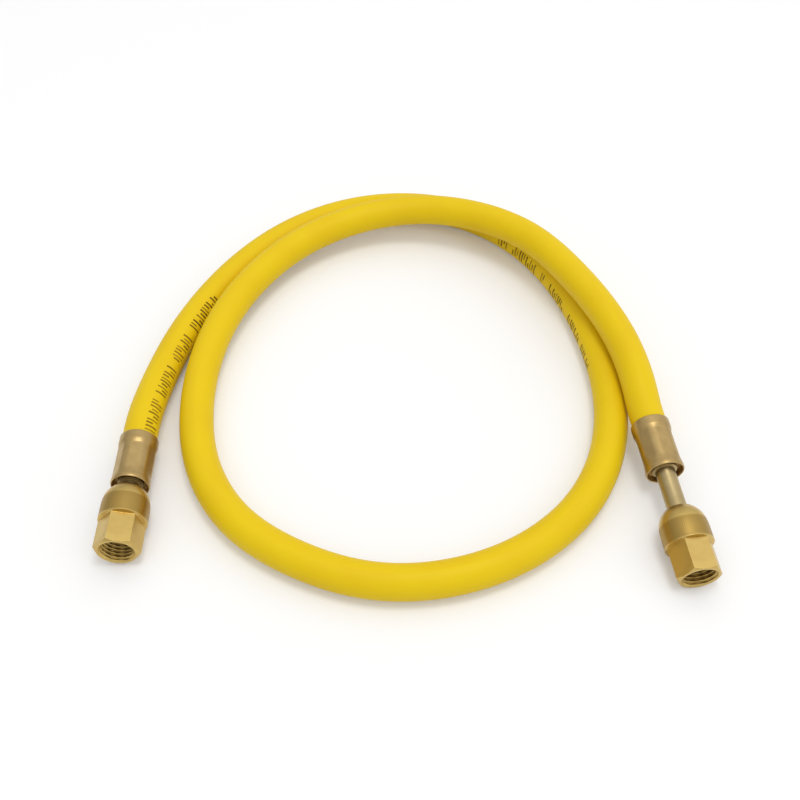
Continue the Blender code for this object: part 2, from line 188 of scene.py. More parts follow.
# Route of the hose, as in the part: X, Y and the lift of its underside in hose diameters
ROUTE = [
    (-0.0870, 0.0500, 0.06),
    (-0.0820, 0.0735, 0.01),
    (-0.0735, 0.0960, 0.00),
    (-0.0615, 0.1165, 0.00),
    (-0.0455, 0.1340, 0.00),
    (-0.0245, 0.1465, 0.00),
    (-0.0005, 0.1510, 0.00),
    (0.0235, 0.1460, 0.00),
    (0.0425, 0.1325, 0.00),
    (0.0565, 0.1130, 0.00),
    (0.0655, 0.0905, 0.00),
    (0.0705, 0.0670, 0.00),
    (0.0715, 0.0420, 0.00),
    (0.0665, 0.0180, 0.00),
    (0.0545, -0.0030, 0.00),
    (0.0360, -0.0185, 0.00),
    (0.0140, -0.0270, 0.00),
    (-0.0100, -0.0280, 0.00),
    (-0.0330, -0.0205, 0.00),
    (-0.0530, -0.0065, 0.00),
    (-0.0660, 0.0140, 0.00),
    (-0.0715, 0.0385, 0.03),
    (-0.0710, 0.0625, 0.14),
    (-0.0650, 0.0860, 0.28),
    (-0.0540, 0.1070, 0.36),
    (-0.0390, 0.1240, 0.41),
    (-0.0185, 0.1355, 0.53),
    (0.0055, 0.1390, 0.70),
    (0.0285, 0.1325, 0.88),
    (0.0480, 0.1185, 0.99),
    (0.0615, 0.0985, 1.04),
    (0.0720, 0.0760, 1.02),
    (0.0785, 0.0535, 0.88),
    (0.0803, 0.0405, 0.69),
]

# Printed marks: each group's first and last place along the hose from the left ferrule and
# how worn it is, and the print's angle from the top of the hose towards the inside of the
# coil, which drifts
PRINT_GROUPS = [
    (1 * MM, 15.5 * MM, 0.6),
    (18 * MM, 32 * MM, 0.5),
    (36 * MM, 49.5 * MM, 0.55),
    (53 * MM, 72 * MM, 0.15),
    (218.5 * MM, 224 * MM, 0.0),
    (227 * MM, 243 * MM, 0.2),
    (247 * MM, 250.5 * MM, 0.3),
    (254 * MM, 267 * MM, 0.1),
    (272 * MM, 285 * MM, 0.2),
    (288 * MM, 299 * MM, 0.3),
    (424 * MM, 439 * MM, 0.3),
    (442 * MM, 460 * MM, 0.2),
    (463 * MM, 478 * MM, 0.3),
]
PRINT_ANGLES = [(0.0, 49), (75 * MM, 52), (218 * MM, 80), (265 * MM, 88), (300 * MM, 94)]
MARK_PITCH = 1.45 * MM
MARK_LIFT = 0.03 * MM
MARK_STEPS = 6

# Bars, repeated in this order: how far each reaches down and up from the print's own centre
# line, in halves of the marks' height. Every third one is narrow.
BARS = [(-1, 1), (-1, 1), (-1, 0.1), (-1, 1), (-0.1, 1), (-1, 1), (-0.6, 0.6)]
BROAD_BAR = 0.5
NARROW_BAR = 0.34

# Camera
CAMERA_ELEVATION = math.radians(49)
CAMERA_DISTANCE = 0.356
CAMERA_TARGET = Vector((-0.0015, 0.049, 0.0))
LENS_MM = 45
SENSOR_MM = 36

# Where the light from all round is brightest: overhead, leaning to the right
BRIGHT_DIRECTION = (0.35, 0.0, 0.94)

# Soft lamp overhead
LAMP_PLACE = Vector((0.1, 0.0, 1.0))
LAMP_TARGET = Vector((0, 0.05, 0))
LAMP_SIZE = 0.3


def linear(hex_colour):
    """The linear colour that an sRGB hex value stands for."""
    srgb = [int(hex_colour[i : i + 2], 16) / 255 for i in (1, 3, 5)]
    return tuple(c / 12.92 if c <= 0.04045 else ((c + 0.055) / 1.055) ** 2.4 for c in srgb)


# Settings that a user would change


class HoseSettings(bpy.types.PropertyGroup):
    cover: FloatVectorProperty(
        name="Cover",
        description="Colour of the rubber cover where light falls on it squarely",
        subtype="COLOR",
        size=3,
        min=0,
        max=1,
        default=linear("#E7C90E"),
    )
    shade: FloatVectorProperty(
        name="Cover patches",
        description="Colour of the slightly duller patches of the cover",
        subtype="COLOR",
        size=3,
        min=0,
        max=1,
        default=linear("#DEB813"),
    )
    ink: FloatVectorProperty(
        name="Ink",
        description="Colour of the printed marks where the ink is full",
        subtype="COLOR",
        size=3,
        min=0,
        max=1,
        default=linear("#56400A"),
    )
    worn_ink: FloatVectorProperty(
        name="Worn ink",
        description="Colour of the printed marks where the ink is thin",
        subtype="COLOR",
        size=3,
        min=0,
        max=1,
        default=linear("#9E7C14"),
    )
    mark_height: FloatProperty(
        name="Mark height",
        description="Height of the printed marks, round the hose",
        unit="LENGTH",
        min=0.5 * MM,
        max=10 * MM,
        default=4.5 * MM,
    )
    sides: IntProperty(
        name="Sides",
        description="Number of sides of the hose's round section",
        min=12,
        max=96,
        default=48,
    )


class BrassSettings(bpy.types.PropertyGroup):
    drawn: FloatVectorProperty(
        name="Drawn brass",
        description="Colour of the pressed ferrules",
        subtype="COLOR",
        size=3,
        min=0,
        max=1,
        default=linear("#BCA16C"),
    )
    turned: FloatVectorProperty(
        name="Turned brass",
        description="Colour of the nuts",
        subtype="COLOR",
        size=3,
        min=0,
        max=1,
        default=linear("#CEB169"),
    )
    shank: FloatVectorProperty(
        name="Stem brass",
        description="Colour of the stems",
        subtype="COLOR",
        size=3,
        min=0,
        max=1,
        default=linear("#B8A477"),
    )
    knurl_count: IntProperty(
        name="Knurl teeth",
        description="Number of knurl grooves round each nut, each way",
        min=24,
        max=90,
        default=72,
    )
    knurl_depth: FloatProperty(
        name="Knurl depth",
        description="Depth of the knurl's grooves",
        unit="LENGTH",
        min=0,
        max=0.4 * MM,
        default=0.08 * MM,
    )
    thread_pitch: FloatProperty(
        name="Thread pitch",
        description="Distance from one turn of the nut's thread to the next",
        unit="LENGTH",
        min=0.5 * MM,
        max=3 * MM,
        default=1.27 * MM,
    )


class StudioSettings(bpy.types.PropertyGroup):
    floor: FloatVectorProperty(
        name="Floor",
        description="Colour of the floor that the hose lies on",
        subtype="COLOR",
        size=3,
        min=0,
        max=1,
        default=linear("#E8E8E8"),
    )
    floor_size: FloatProperty(
        name="Floor size",
        description="Length of each side of the floor",
        unit="LENGTH",
        min=1,
        max=20,
        default=8,
    )
    glow: FloatProperty(
        name="Floor glow",
        description="Extra light of the floor, seen only by the camera and in reflections",
        min=0,
        max=1,
        default=0.13,
    )
    key_power: FloatProperty(
        name="Key power",
        description="Power of the soft lamp overhead",
        min=0,
        max=100,
        default=2.2,
    )
    surround_dim: FloatProperty(
        name="Dim side",
        description="Strength of the light from all round, at the horizon on the left",
        min=0,
        max=2,
        default=0.38,
    )
    surround_bright: FloatProperty(
        name="Bright side",
        description="Strength of the light from all round, overhead and a little to the right",
        min=0,
        max=2,
        default=1.1,
    )


# Building blocks


def add_node(tree, kind, settings=None, links=None, inputs=None):
    """A node with its settings, the values of its sockets, and links from other sockets."""
    node = tree.nodes.new(kind)
    for name, value in (settings or {}).items():
        setattr(node, name, value)
    for socket, value in (inputs or {}).items():
        node.inputs[socket].default_value = value
    for socket, source in (links or {}).items():
        tree.links.new(source, node.inputs[socket])
    return node


def new_material(name):
    """An empty material's node tree with its Principled shader, ready to be filled."""
    material = bpy.data.materials.new(name)
    material.use_nodes = True
    return material, material.node_tree, material.node_tree.nodes["Principled BSDF"]


def place_of(side):
    """Where a fitting stands: origin at the ferrule's mouth, Z out through the nut, Y up."""
    joint_name, shank = ENDS[side][:2]
    joint = next(joint for joint in frame["joints"] if joint["name"] == joint_name)
    outward = Vector(joint["axis"]).normalized()
    across = Vector((-outward.y, outward.x, 0)).normalized()
    place = Matrix((across, outward.cross(across), outward)).transposed().to_4x4()
    place.translation = Vector(joint["pos_m"]) - outward * (FERRULE_LENGTH + shank)
    return place


def rounded(profile, reach):
    """The profile with each corner eased off by a small curve that starts reach before it, or
    nearer where the next corner is close."""
    points = [np.array(point, float) for point in profile]
    eased = []
    for i, corner in enumerate(points):
        before = points[i - 1] - corner
        after = points[(i + 1) % len(points)] - corner
        start = corner + before * min(EASE_SHARE, reach / np.linalg.norm(before))
        end = corner + after * min(EASE_SHARE, reach / np.linalg.norm(after))
        for t in np.linspace(0, 1, EASE_STEPS + 1):
            eased.append((1 - t) ** 2 * start + 2 * t * (1 - t) * corner + t**2 * end)
    return eased


def all_round(sides):
    """The angles of a ring's corners."""
    return np.arange(sides) * 2 * math.pi / sides


def from_nearest_flat(angles):
    """How far each angle is from the middle of the nearest of six flats."""
    return (angles - FIRST_FLAT + HEX_SECTOR / 2) % HEX_SECTOR - HEX_SECTOR / 2


def circle(angles, radii, height):
    """A ring of points about Z, whose radius may change with the angle."""
    heights = np.full(len(angles), height)
    return np.stack([radii * np.cos(angles), radii * np.sin(angles), heights], axis=1)


def skinned(name, rings, sharp_degrees=40):
    """A closed skin over rings that run down the outside of a piece and back up inside it."""
    shape = bmesh.new()
    rows = [[shape.verts.new(point) for point in ring] for ring in rings]
    for row, following in zip(rows, rows[1:] + rows[:1]):
        for i, corner in enumerate(row):
            j = (i + 1) % len(row)
            shape.faces.new((corner, row[j], following[j], following[i]))
    bmesh.ops.recalc_face_normals(shape, faces=shape.faces)
    return as_object(name, shape, sharp_degrees)


def as_object(name, shape, sharp_degrees=40):
    """A shape as an object, shaded smooth but for the edges that are sharper than that."""
    mesh = bpy.data.meshes.new(name)
    shape.to_mesh(mesh)
    shape.free()
    mesh.shade_smooth()
    mesh.set_sharp_from_angle(angle=math.radians(sharp_degrees))
    obj = bpy.data.objects.new(name, mesh)
    bpy.context.scene.collection.objects.link(obj)
    return obj


def turned(name, profile):
    """A piece turned about Z from a closed profile of radii and heights, its edges eased."""
    angles = all_round(TURNED_SIDES)
    eased = rounded(profile, EDGE_EASE)
    return skinned(name, [circle(angles, radius, height) for radius, height in eased])


def finished(obj, place, material, body, node):
    """Lays a piece in the part's frame, gives it its finish, hangs it on its body and hides
    the part's piece that it stands for. The places that it was turned at, about an upright
    axis, stay on it as turned_place, for its finish to follow."""
    coordinates = [value for vertex in obj.data.vertices for value in vertex.co]
    spots = obj.data.attributes.new("turned_place", "FLOAT_VECTOR", "POINT")
    spots.data.foreach_set("vector", coordinates)
    obj.data.transform(place)
    obj.data.materials.append(material)
    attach(obj, body)
    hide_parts(node)


def turned_place(tree):
    """The socket that says where on the lathe, or in the press, each spot of a piece was."""
    spots = add_node(tree, "ShaderNodeAttribute", {"attribute_name": "turned_place"})
    return spots.outputs["Vector"]


# Finishes


def satin_rubber(settings):
    """Extruded nitrile rubber cover. It was drawn hot through a die over the braid, so it is
    smooth along its length and satin, with faint streaks along it and duller patches."""
    material, tree, shader = new_material("satin_nitrile_rubber")
    run = add_node(tree, "ShaderNodeUVMap", {"uv_map": "hose_run"}).outputs["UV"]
    # Patches about 22 mm across
    patch = add_node(
        tree, "ShaderNodeTexNoise", links={"Vector": run}, inputs={"Scale": 45, "Detail": 3}
    )
    tint = add_node(
        tree,
        "ShaderNodeMix",
        {"data_type": "RGBA"},
        {"Factor": patch.outputs["Fac"]},
        {"A": (*settings.cover, 1), "B": (*settings.shade, 1)},
    )
    tree.links.new(tint.outputs["Result"], shader.inputs["Base Color"])
    # Die lines about 25 mm long, and 0.5 mm apart round the hose
    stretched = add_node(
        tree,
        "ShaderNodeMapping",
        links={"Vector": run},
        inputs={"Scale": (1 / (25 * MM), 1 / (0.5 * MM), 1)},
    )
    streaks = add_node(
        tree,
        "ShaderNodeTexNoise",
        links={"Vector": stretched.outputs["Vector"]},
        inputs={"Scale": 1, "Detail": 2},
    )
    # Grain of the rubber, drawn as coarse as 0.4 mm, because its own is too fine to show
    grain = add_node(
        tree,
        "ShaderNodeTexNoise",
        links={"Vector": run},
        inputs={"Scale": 1 / (0.4 * MM), "Detail": 2},
    )
    relief = add_node(
        tree,
        "ShaderNodeMath",
        {"operation": "ADD"},
        {0: streaks.outputs["Fac"], 1: grain.outputs["Fac"]},
    )
    bump = add_node(
        tree,
        "ShaderNodeBump",
        links={"Height": relief.outputs["Value"]},
        inputs={"Strength": 0.25, "Distance": 0.02 * MM},
    )
    tree.links.new(bump.outputs["Normal"], shader.inputs["Normal"])
    dullness = add_node(
        tree,
        "ShaderNodeMapRange",
        links={"Value": patch.outputs["Fac"]},
        inputs={"To Min": 0.42, "To Max": 0.55},
    )
    tree.links.new(dullness.outputs["Result"], shader.inputs["Roughness"])
    shader.inputs["IOR"].default_value = 1.5
    shader.inputs["Specular IOR Level"].default_value = 0.15
    return material


def printed_ink(settings):
    """Ink-jet marking on rubber. It soaks in unevenly and rubs off, so the marks are matt and
    go from dark to faint along the hose."""
    material, tree, shader = new_material("marking_ink")
    place = add_node(tree, "ShaderNodeTexCoord").outputs["Object"]
    # Thin places about 4.5 mm across
    wear = add_node(
        tree, "ShaderNodeTexNoise", links={"Vector": place}, inputs={"Scale": 220, "Detail": 3}
    )
    spread = add_node(
        tree,
        "ShaderNodeMapRange",
        links={"Value": wear.outputs["Fac"]},
        inputs={"From Min": 0.35, "From Max": 0.65, "To Max": 0.5},
    )
    rubbed = add_node(tree, "ShaderNodeAttribute", {"attribute_name": "ink_wear"})
    worn = add_node(
        tree,
        "ShaderNodeMath",
        {"operation": "ADD"},
        {0: spread.outputs["Result"], 1: rubbed.outputs["Fac"]},
    )
    tint = add_node(
        tree,
        "ShaderNodeMix",
        {"data_type": "RGBA"},
        {"Factor": worn.outputs["Value"]},
        {"A": (*settings.ink, 1), "B": (*settings.worn_ink, 1)},
    )
    tree.links.new(tint.outputs["Result"], shader.inputs["Base Color"])
    shader.inputs["Roughness"].default_value = 0.7
    shader.inputs["Specular IOR Level"].default_value = 0.15
    return material


def brass(name, colour, roughness, line_spacing, line_depth, tarnish):
    """Brass with fine rings left by the lathe or the drawing die, whose grooves scatter light
    across the piece, a light brown tarnish in soft patches, and painted shade in the knurl and
    the thread where the mesh carries it."""
    material, tree, shader = new_material(name)
    place = turned_place(tree)
    # Soft patches about 4 mm across
    cloud = add_node(
        tree, "ShaderNodeTexNoise", links={"Vector": place}, inputs={"Scale": 260, "Detail": 4}
    )
    patches = add_node(
        tree,
        "ShaderNodeMapRange",
        links={"Value": cloud.outputs["Fac"]},
        inputs={"From Min": 0.4, "From Max": 0.75, "To Max": tarnish},
    )
    # Painted shade in the knurl and the thread, from the nut's mesh, darkens the brass as far
    # as the tarnish does
    groove_shade = add_node(tree, "ShaderNodeAttribute", {"attribute_name": "painted_groove_shade"})
    patches = add_node(
        tree,
        "ShaderNodeMath",
        {"operation": "MAXIMUM"},
        {0: patches.outputs["Result"], 1: groove_shade.outputs["Fac"]},
    )
    dull = tuple(part * left for part, left in zip(colour, TARNISH_AND_SHADE_TINT))
    tint = add_node(
        tree,
        "ShaderNodeMix",
        {"data_type": "RGBA"},
        {"Factor": patches.outputs["Value"]},
        {"A": (*colour, 1), "B": (*dull, 1)},
    )
    tree.links.new(tint.outputs["Result"], shader.inputs["Base Color"])
    # Rings at the spacing that the tool or the die leaves, a little uneven round the piece
    along = add_node(
        tree,
        "ShaderNodeMapping",
        links={"Vector": place},
        inputs={"Scale": (30, 30, 1 / line_spacing)},
    )
    rings = add_node(
        tree,
        "ShaderNodeTexNoise",
        links={"Vector": along.outputs["Vector"]},
        inputs={"Scale": 1, "Detail": 3},
    )
    bump = add_node(
        tree,
        "ShaderNodeBump",
        links={"Height": rings.outputs["Fac"]},
        inputs={"Strength": 0.6, "Distance": line_depth},
    )
    tree.links.new(bump.outputs["Normal"], shader.inputs["Normal"])
    rubbed = add_node(
        tree,
        "ShaderNodeMapRange",
        links={"Value": cloud.outputs["Fac"]},
        inputs={"To Min": roughness - 0.06, "To Max": roughness + 0.08},
    )
    tree.links.new(rubbed.outputs["Result"], shader.inputs["Roughness"])
    shader.inputs["Metallic"].default_value = 1.0
    return material


def seal_rubber():
    """Moulded black nitrile. The mould leaves it matt, with a fine even grain."""
    material, tree, shader = new_material("moulded_black_nitrile")
    place = turned_place(tree)
    # Grain about 0.3 mm across
    grain = add_node(
        tree,
        "ShaderNodeTexNoise",
        links={"Vector": place},
        inputs={"Scale": 3000, "Detail": 2},
    )
    tint = add_node(
        tree,
        "ShaderNodeMix",
        {"data_type": "RGBA"},
        {"Factor": grain.outputs["Fac"]},
        {"A": (*linear("#1F1B19"), 1), "B": (*linear("#38322E"), 1)},
    )
    tree.links.new(tint.outputs["Result"], shader.inputs["Base Color"])
    bump = add_node(
        tree,
        "ShaderNodeBump",
        links={"Height": grain.outputs["Fac"]},
        inputs={"Strength": 0.4, "Distance": 0.02 * MM},
    )
    tree.links.new(bump.outputs["Normal"], shader.inputs["Normal"])
    shader.inputs["Roughness"].default_value = 0.6
    return material


# Hose


def smooth_curve(knots, start_direction, end_direction):
    """Points along the cubic through the knots whose slope and bend change without a step."""
    knots = np.array(knots)
    steps = np.linalg.norm(np.diff(knots, axis=0), axis=1)
    system = np.eye(len(knots))
    wanted = np.zeros((len(knots), 3))
    wanted[0] = start_direction
    wanted[-1] = end_direction
    for i in range(1, len(knots) - 1):
        before = steps[i - 1]
        after = steps[i]
        system[i, i - 1 : i + 2] = (after, 2 * (before + after), before)
        rise_before = (knots[i] - knots[i - 1]) / before
        rise_after = (knots[i + 1] - knots[i]) / after
        wanted[i] = 3 * (after * rise_before + before * rise_after)
    slopes = np.linalg.solve(system, wanted)
    points = []
    for i, step in enumerate(steps):
        for t in np.linspace(0, 1, STEPS_PER_KNOT, endpoint=False):
            points.append(
                (2 * t**3 - 3 * t**2 + 1) * knots[i]
                + (t**3 - 2 * t**2 + t) * step * slopes[i]
                + (3 * t**2 - 2 * t**3) * knots[i + 1]
                + (t**3 - t**2) * step * slopes[i + 1]
            )
    points.append(knots[-1])
    return np.array(points)


class HoseLine:
    """The hose's centreline. A place on it is a distance from the left ferrule's mouth, less
    than nothing inside that ferrule and more than the free length inside the right one."""

    def __init__(self):
        left, right = place_of("left"), place_of("right")
        left_out, right_out = left.col[2].to_3d(), right.col[2].to_3d()
        knots = [left.translation, left.translation - left_out * LEAD_LENGTH]
        for x, y, lift in ROUTE:
            knots.append(Vector((x, y, 2 * HOSE_RADIUS * (0.5 + lift))))
        knots += [right.translation - right_out * LEAD_LENGTH, right.translation]
        free = smooth_curve(knots, -left_out, right_out)
        inner_left = np.array(left.translation + left_out * HOSE_END_DEPTH)
        inner_right = np.array(right.translation + right_out * HOSE_END_DEPTH)
        self.points = np.concatenate([[inner_left], free, [inner_right]])
        lengths = np.linalg.norm(np.diff(self.points, axis=0), axis=1)
        self.along = np.concatenate([[0], np.cumsum(lengths)]) - HOSE_END_DEPTH
        self.free_length = self.along[-1] - HOSE_END_DEPTH

    def at(self, place):
        """The centre and the sideways and upward directions there. Sideways is to the right
        of the hose's run, which is the inside of the coil."""
        step = 1 * MM
        spots = []
        for station in (place - step, place, place + step):
            kept = min(max(station, self.along[0]), self.along[-1])
            spots.append([np.interp(kept, self.along, self.points[:, i]) for i in range(3)])
        heading = Vector(spots[2]) - Vector(spots[0])
        sideways = heading.cross(Vector((0, 0, 1))).normalized()
        return Vector(spots[1]), sideways, sideways.cross(heading).normalized()

    def radius(self, place):
        """Outer radius: full along the run, drawn in at each mouth and crimped beyond it."""
        depth = -min(place, self.free_length - place)
        depths = [-MOUTH_TAPER, 0, BELL_LENGTH, BELL_LENGTH + CRIMP_TAPER]
        radii = [HOSE_RADIUS, MOUTH_RADIUS, MOUTH_RADIUS, CRIMPED_RADIUS]
        return float(np.interp(depth, depths, radii))

    def print_spot(self, place, angle):
        """A point just off the cover, at an angle from its top towards the inside of the
        coil."""
        centre, sideways, upward = self.at(place)
        reach = self.radius(place) + MARK_LIFT
        return centre + (sideways * math.sin(angle) + upward * math.cos(angle)) * reach


def hose_skin(line, sides):
    """The hose's cover and bore as one closed skin, with a map of places on it in metres:
    U runs along the hose and V round it."""
    count = round((line.along[-1] - line.along[0]) / RING_SPACING)
    places = list(np.linspace(line.along[0], line.along[-1], count + 1))
    shape = bmesh.new()
    run = shape.loops.layers.uv.new("hose_run")
    rows = []
    for bore in (False, True):
        for place in reversed(places) if bore else places:
            centre, sideways, upward = line.at(place)
            radius = HOSE_BORE_RADIUS if bore else line.radius(place)
            row = []
            for step in range(sides):
                angle = 2 * math.pi * step / sides
                out = sideways * math.sin(angle) + upward * math.cos(angle)
                row.append(shape.verts.new(centre + out * radius))
            rows.append((place, row))
    round_step = 2 * math.pi * HOSE_RADIUS / sides
    for (place, row), (next_place, following) in zip(rows, rows[1:] + rows[:1]):
        for i in range(sides):
            j = (i + 1) % sides
            face = shape.faces.new((row[i], row[j], following[j], following[i]))
            stations = (place, place, next_place, next_place)
            turns = (i, i + 1, i + 1, i)
            for loop, station, turn in zip(face.loops, stations, turns):
                loop[run].uv = (station, turn * round_step)
    bmesh.ops.recalc_face_normals(shape, faces=shape.faces)
    return as_object("hose_cover", shape), [line.at(place)[0] for place in places]


def mark_strip(shape, line, start, end, low, high, wear):
    """One printed bar, curved round the hose: it runs from start to end along the hose, and
    from low to high round it, both from the print's own centre line."""
    wear_layer = shape.verts.layers.float["ink_wear"]
    columns = []
    for place in (start, end):
        angle = math.radians(np.interp(place, *zip(*PRINT_ANGLES)))
        column = []
        for height in np.linspace(low, high, MARK_STEPS + 1):
            vertex = shape.verts.new(line.print_spot(place, angle + height / HOSE_RADIUS))
            vertex[wear_layer] = wear
            column.append(vertex)
        columns.append(column)
    first, last = columns
    for i in range(MARK_STEPS):
        shape.faces.new((first[i], first[i + 1], last[i + 1], last[i]))


def printed_marks(line, mark_height):
    """Groups of plain bars, each with its own wear, and no letters."""
    shape = bmesh.new()
    shape.verts.layers.float.new("ink_wear")
    half = mark_height / 2
    drawn = 0
    for start, end, wear in PRINT_GROUPS:
        for i in range(round((end - start) / MARK_PITCH)):
            low, high = BARS[drawn % len(BARS)]
            place = start + i * MARK_PITCH
            width = MARK_PITCH * (BROAD_BAR if drawn % 3 else NARROW_BAR)
            mark_strip(shape, line, place, place + width, low * half, high * half, wear)
            drawn += 1
    return as_object("printed_marks", shape)


class LayHose(bpy.types.Operator):
    """Lay the rubber hose along its route, with its printed marks"""

    bl_idname = "charging_hose.lay_hose"
    bl_label = "Lay Hose"

    def execute(self, context):
        settings = context.scene.hose_settings
        line = HoseLine()
        cover, path = hose_skin(line, settings.sides)
        rubber = satin_rubber(settings)
        finished(cover, Matrix(), rubber, "hose_body", "hose")
        marks = printed_marks(line, settings.mark_height)
        marks.data.materials.append(printed_ink(settings))
        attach(marks, "hose_body")
        tuple(place_of("left").translation)
        return {"FINISHED"}


# Ferrules


def ferrule_rings():
    """Rings down the outside of the ferrule and back up inside it: a round bell, a crimp with
    six flats, a rolled rim with a recess, and the web that locks on the stem."""
    angles = all_round(FERRULE_SIDES)
    from_flat = from_nearest_flat(angles)
    crimp_start = BELL_LENGTH + CRIMP_TAPER
    rim_start = FERRULE_LENGTH - RIM_LENGTH
    crimp_end = rim_start - RIM_TAPER
    bell_inner = BELL_RADIUS - FERRULE_WALL
    crimp_inner = CRIMP_RADIUS - FERRULE_WALL
    rim_inner = RIM_RADIUS - FERRULE_WALL
    web_rear = FERRULE_LENGTH - RECESS_DEPTH
    web_front = web_rear - WEB_THICKNESS
    # Distance from the axis, how far it is pressed to a hexagon, and distance from the mouth
    profile = [
        (BELL_RADIUS - BELL_LIP, 0, 0),
        (BELL_RADIUS, 0, BELL_LIP),
        (BELL_RADIUS, 0, BELL_LENGTH - 0.5 * MM),
        (BELL_RADIUS - 0.1 * MM, 0, BELL_LENGTH),
        (CRIMP_RADIUS + 0.08 * MM, 0.8, crimp_start - 0.2 * MM),
        (CRIMP_RADIUS, 1, crimp_start + 0.4 * MM),
        (CRIMP_RADIUS, 1, (crimp_start + crimp_end) / 2),
        (CRIMP_RADIUS, 1, crimp_end - 0.4 * MM),
        (CRIMP_RADIUS + 0.06 * MM, 0.8, crimp_end + 0.5 * MM),
        (RIM_RADIUS - 0.08 * MM, 0, rim_start),
        (RIM_RADIUS, 0, rim_start + 0.4 * MM),
        (RIM_RADIUS, 0, FERRULE_LENGTH - 0.5 * MM),
        (RIM_RADIUS - 0.14 * MM, 0, FERRULE_LENGTH - 0.12 * MM),
        (RIM_RADIUS - FERRULE_WALL / 2, 0, FERRULE_LENGTH),
        (rim_inner + 0.1 * MM, 0, FERRULE_LENGTH - 0.12 * MM),
        (rim_inner, 0, FERRULE_LENGTH - 0.4 * MM),
        (rim_inner, 0, web_rear),
        (WEB_HOLE_RADIUS, 0, web_rear),
        (WEB_HOLE_RADIUS, 0, web_front),
        (crimp_inner, 0, web_front),
        (crimp_inner, 1, crimp_end),
        (crimp_inner, 1, crimp_start),
        (bell_inner, 0, BELL_LENGTH),
        (bell_inner, 0, BELL_LIP),
        (bell_inner + BELL_LIP / 2, 0, 0),
    ]
    rings = []
    for flat, crimp, height in rounded(profile, FERRULE_EDGE_EASE):
        crimp = min(max(crimp, 0), 1)
        # The nearer of the hexagon and the round that cuts its corners, with a soft change
        hexagon = -flat / np.cos(from_flat) / CRIMP_CORNER_EASE
        corner = -(flat + CRIMP_CORNER_RISE) / CRIMP_CORNER_EASE
        pressed = -np.logaddexp(hexagon, corner) * CRIMP_CORNER_EASE
        rings.append(circle(angles, flat * (1 - crimp) + pressed * crimp, height))
    return rings


class PressFerrules(bpy.types.Operator):
    """Press a drawn brass ferrule onto each end of the hose"""

    bl_idname = "charging_hose.press_ferrules"
    bl_label = "Press Ferrules"

    def execute(self, context):
        settings = context.scene.brass_settings
        metal = brass(
            "drawn_brass",
            settings.drawn,
            roughness=0.36,
            line_spacing=0.35 * MM,
            line_depth=0.005 * MM,
            tarnish=0.4,
        )
        for side, (_, _, crimp_turn, _) in ENDS.items():
            obj = skinned(side + "_ferrule_shell", ferrule_rings(), sharp_degrees=50)
            place = place_of(side) @ Matrix.Rotation(crimp_turn, 4, "Z")
            finished(obj, place, metal, "hose_body", side + "_ferrule")
        return {"FINISHED"}


# Stems


def stem_profile(shank):
    """The stem for a given length of bare shank, in heights from the ferrule's mouth."""
    nut_back = FERRULE_LENGTH + shank
    head_back = nut_back + HEAD_START
    head_front = nut_back + HEAD_END
    points = [(STEM_BORE_RADIUS, TAIL_START), (TAIL_ROOT_RADIUS, TAIL_START)]
    for barb in range(BARB_COUNT):
        start = TAIL_START + 0.3 * MM + barb * BARB_PITCH
        points.append((TAIL_ROOT_RADIUS, start))
        points.append((TAIL_CREST_RADIUS, start + BARB_PITCH * 0.8))
        points.append((TAIL_ROOT_RADIUS, start + BARB_PITCH * 0.88))
    return points + [
        (TAIL_ROOT_RADIUS, LAND_START),
        (LAND_RADIUS, LAND_START),
        (LAND_RADIUS, LAND_START + LAND_LENGTH),
        (GROOVE_RADIUS, LAND_START + LAND_LENGTH),
        (GROOVE_RADIUS, COLLAR_START),
        (COLLAR_RADIUS, COLLAR_START),
        (COLLAR_RADIUS, COLLAR_START + COLLAR_LENGTH),
        (SHANK_RADIUS, COLLAR_START + COLLAR_LENGTH),
        (SHANK_RADIUS, head_back),
        (HEAD_RADIUS, head_back),
        (HEAD_RADIUS, head_front),
        (SOCKET_RADIUS, head_front),
        (SOCKET_RADIUS, head_front - SOCKET_DEPTH),
        (STEM_BORE_RADIUS, head_front - SOCKET_DEPTH),
    ]


class TurnStems(bpy.types.Operator):
    """Turn the barbed stem of each end"""

    bl_idname = "charging_hose.turn_stems"
    bl_label = "Turn Stems"

    def execute(self, context):
        settings = context.scene.brass_settings
        metal = brass(
            "free_cutting_brass",
            settings.shank,
            roughness=0.38,
            line_spacing=0.16 * MM,
            line_depth=0.006 * MM,
            tarnish=0.3,
        )
        for side, (_, shank, _, _) in ENDS.items():
            obj = turned(side + "_stem_turned", stem_profile(shank))
            place = place_of(side)
            finished(obj, place, metal, "hose_body", side + "_stem")
        return {"FINISHED"}


# Nuts


def ramp(value, start, end):
    """Rises smoothly from 0 at start to 1 at end."""
    t = np.clip((value - start) / (end - start), 0, 1)
    return t * t * (3 - 2 * t)


def knurl_groove(angles, height, count, pitch):
    """How deep the two crossing sets of knurl grooves are at each angle, from 0 to 1."""
    turns = angles * count / (2 * math.pi)
    depths = []
    for lean in (1, -1):
        phase = turns + lean * height / pitch
        from_centre = np.abs(phase - np.round(phase))
        depths.append(np.clip(1 - from_centre * KNURL_GROOVE_SHARPNESS, 0, 1))
    return np.maximum(*depths)


def outer_radii(angles, height, radius, settings, pitch):
    """Radius of the nut's outside: turned, knurled at the back and milled at the front."""
    band = ramp(height, KNURL_START, KNURL_START + 0.5 * MM)
    band *= 1 - ramp(height, KNURL_END - 0.8 * MM, KNURL_END - 0.4 * MM)
    groove = knurl_groove(angles, height, settings.knurl_count, pitch)
    radii = radius - settings.knurl_depth * groove * band
    flats = HEX_FLAT_RADIUS / np.cos(from_nearest_flat(angles))
    milled = ramp(height, KNURL_END - 0.1 * MM, KNURL_END + 0.2 * MM)
    return radii - np.maximum(radii - flats, 0) * milled


